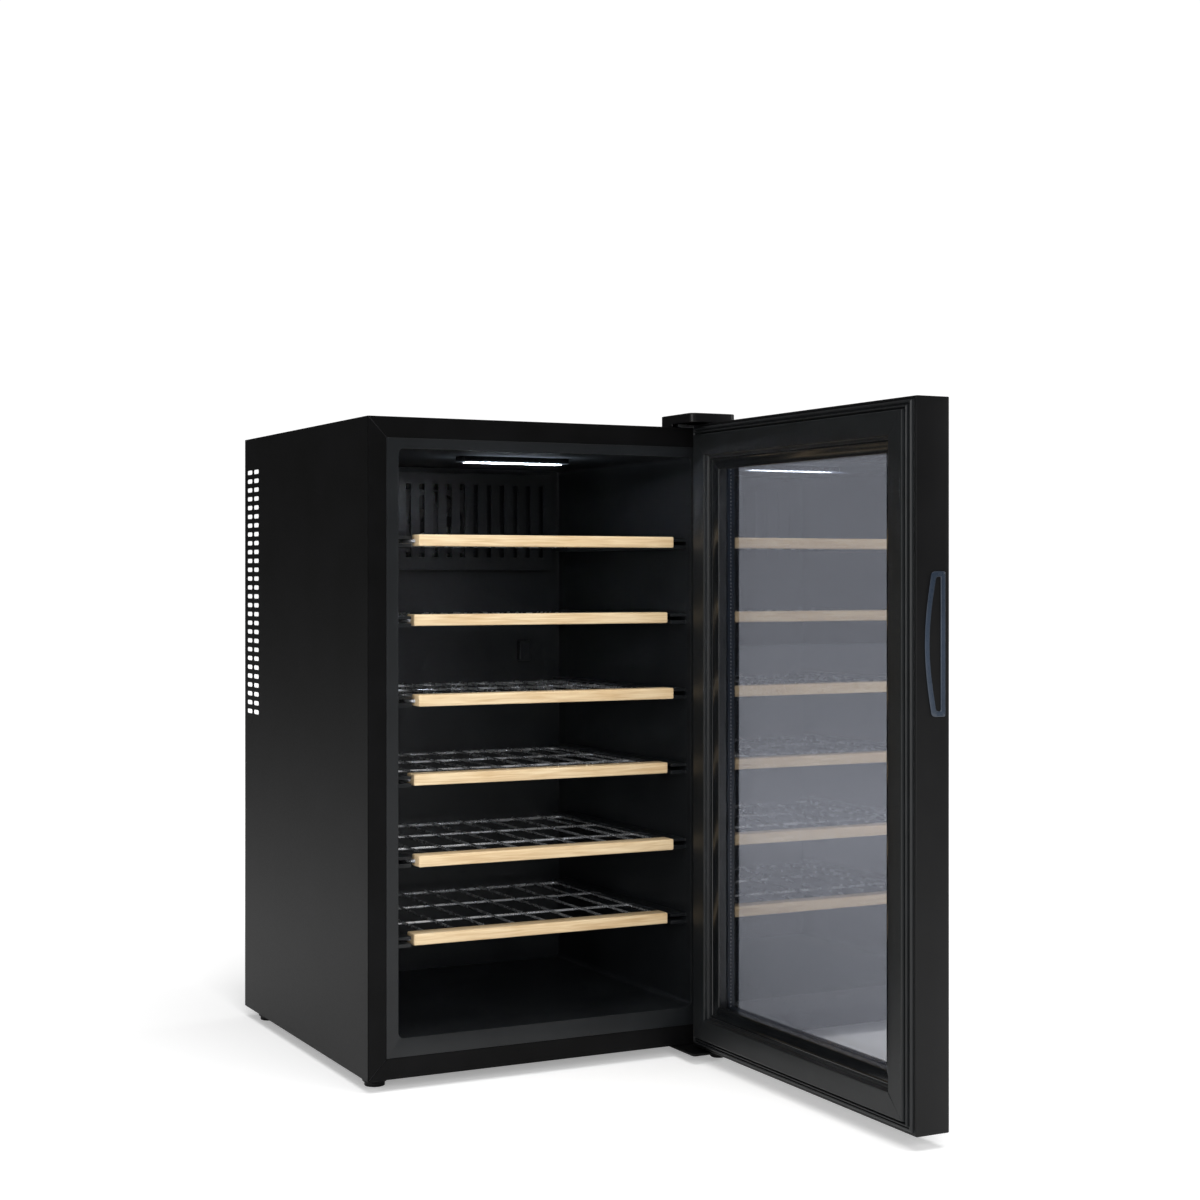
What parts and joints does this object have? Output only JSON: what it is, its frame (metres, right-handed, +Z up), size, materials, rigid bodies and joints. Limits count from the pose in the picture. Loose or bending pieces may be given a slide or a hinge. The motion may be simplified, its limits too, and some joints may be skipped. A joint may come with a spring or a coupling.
{
  "type": "wine cooler",
  "caption": "Free-standing black wine cooler with a smoked glass door on the right, wood-fronted sliding wire shelves and a thermoelectric unit.",
  "frame": {"origin": "on the floor, under the middle of the box that holds the cooler with its door open at a right angle", "axes": "+Z up, +X to the right as seen from the front, +Y from the door to the back"},
  "size_m": [0.43, 0.8838, 0.7365],
  "materials": {
    "black_steel": "satin black powder coat",
    "liner_plastic": "moulded, satin",
    "black_plastic": "moulded, satin",
    "grip_plastic": "moulded, semi-gloss",
    "foam": "foamed in place",
    "smoked_glass": "smoked, polished",
    "gasket": "extruded, matt",
    "aluminium": "mill finish",
    "beech": "planed and clear lacquered",
    "shelf_wire": "grey plated",
    "led_lens": "opal diffuser",
    "ceramic": "sintered",
    "circuit_board": "solder resist",
    "zinc_steel": "zinc plated",
    "acetal": "moulded"
  },
  "bodies": {
    "cabinet": {"back_panel": "black_steel", "bottom_panel": "black_steel", "cold_block": "aluminium", "cold_fan_frame": "black_plastic", "cold_heat_sink": "aluminium", "control_board": "circuit_board", "control_box": "black_plastic", "control_box_lid": "black_plastic", "cord_gland": "black_plastic", "duct_cover": "liner_plastic", "fan_guard": "black_plastic", "hot_fan_frame": "black_plastic", "hot_heat_sink": "aluminium", "inner_liner": "liner_plastic", "insulation_foam": "foam", "led_housing": "liner_plastic", "led_lens": "led_lens", "left_side_panel": "black_steel", "lower_hinge_bracket": "black_steel", "lower_hinge_pin": "black_steel", "peltier_module": "ceramic", "right_side_panel": "black_steel", "temperature_sensor": "liner_plastic", "top_panel": "black_steel", "upper_hinge_bracket": "zinc_steel", "upper_hinge_cover": "black_plastic", "upper_hinge_pin": "zinc_steel", "upper_hinge_screw_1": "zinc_steel", "upper_hinge_screw_2": "zinc_steel"},
    "door": {"door_frame": "black_plastic", "door_inner_frame": "black_plastic", "outer_glass": "smoked_glass", "inner_glass": "smoked_glass", "glass_spacer": "aluminium", "door_gasket": "gasket", "grip_bezel": "grip_plastic", "touch_panel": "black_plastic", "display_board": "circuit_board", "upper_door_bush": "acetal", "lower_door_bush": "acetal"},
    "cold_fan": {"cold_fan_rotor": "black_plastic"},
    "hot_fan": {"hot_fan_rotor": "black_plastic"},
    "shelf_1": {"shelf_1_board": "beech", "shelf_1_rack": "shelf_wire"},
    "shelf_2": {"shelf_2_board": "beech", "shelf_2_rack": "shelf_wire"},
    "shelf_3": {"shelf_3_board": "beech", "shelf_3_rack": "shelf_wire"},
    "shelf_4": {"shelf_4_board": "beech", "shelf_4_rack": "shelf_wire"},
    "shelf_5": {"shelf_5_board": "beech", "shelf_5_rack": "shelf_wire"},
    "shelf_6": {"shelf_6_board": "beech", "shelf_6_rack": "shelf_wire"},
    "front_left_foot_screw": {"front_left_foot": "black_plastic"},
    "front_right_foot_screw": {"front_right_foot": "black_plastic"},
    "rear_left_foot_screw": {"rear_left_foot": "black_plastic"},
    "rear_right_foot_screw": {"rear_right_foot": "black_plastic"}
  },
  "joints": [
    {"name": "door_hinge", "type": "hinge", "parent": "cabinet", "child": "door", "pos_m": [0.1978, -0.02785, 0.37], "axis": [0, 0, 1], "range_deg": [-90, 30]},
    {"name": "shelf_1_slide", "type": "slide", "parent": "cabinet", "child": "shelf_1", "axis": [0, -1, 0], "range_m": [-0.0143, 0.2357]},
    {"name": "shelf_2_slide", "type": "slide", "parent": "cabinet", "child": "shelf_2", "axis": [0, -1, 0], "range_m": [0, 0.25]},
    {"name": "shelf_3_slide", "type": "slide", "parent": "cabinet", "child": "shelf_3", "axis": [0, -1, 0], "range_m": [-0.0143, 0.2357]},
    {"name": "shelf_4_slide", "type": "slide", "parent": "cabinet", "child": "shelf_4", "axis": [0, -1, 0], "range_m": [0, 0.25]},
    {"name": "shelf_5_slide", "type": "slide", "parent": "cabinet", "child": "shelf_5", "axis": [0, -1, 0], "range_m": [-0.0143, 0.2357]},
    {"name": "shelf_6_slide", "type": "slide", "parent": "cabinet", "child": "shelf_6", "axis": [0, -1, 0], "range_m": [0, 0.25]},
    {"name": "cold_fan_spin", "type": "hinge", "parent": "cabinet", "child": "cold_fan", "pos_m": [0, 0.33925, 0.621], "axis": [0, 1, 0], "continuous": true},
    {"name": "hot_fan_spin", "type": "hinge", "parent": "cabinet", "child": "hot_fan", "pos_m": [0, 0.41605, 0.621], "axis": [0, 1, 0], "continuous": true},
    {"name": "front_left_foot_turn", "type": "hinge", "parent": "cabinet", "child": "front_left_foot_screw", "pos_m": [-0.1935, 0.04045, 0.006], "axis": [0, 0, 1], "continuous": true},
    {"name": "front_right_foot_turn", "type": "hinge", "parent": "cabinet", "child": "front_right_foot_screw", "pos_m": [0.1935, 0.04045, 0.006], "axis": [0, 0, 1], "continuous": true},
    {"name": "rear_left_foot_turn", "type": "hinge", "parent": "cabinet", "child": "rear_left_foot_screw", "pos_m": [-0.1935, 0.40895, 0.006], "axis": [0, 0, 1], "continuous": true},
    {"name": "rear_right_foot_turn", "type": "hinge", "parent": "cabinet", "child": "rear_right_foot_screw", "pos_m": [0.1935, 0.40895, 0.006], "axis": [0, 0, 1], "continuous": true}
  ]
}
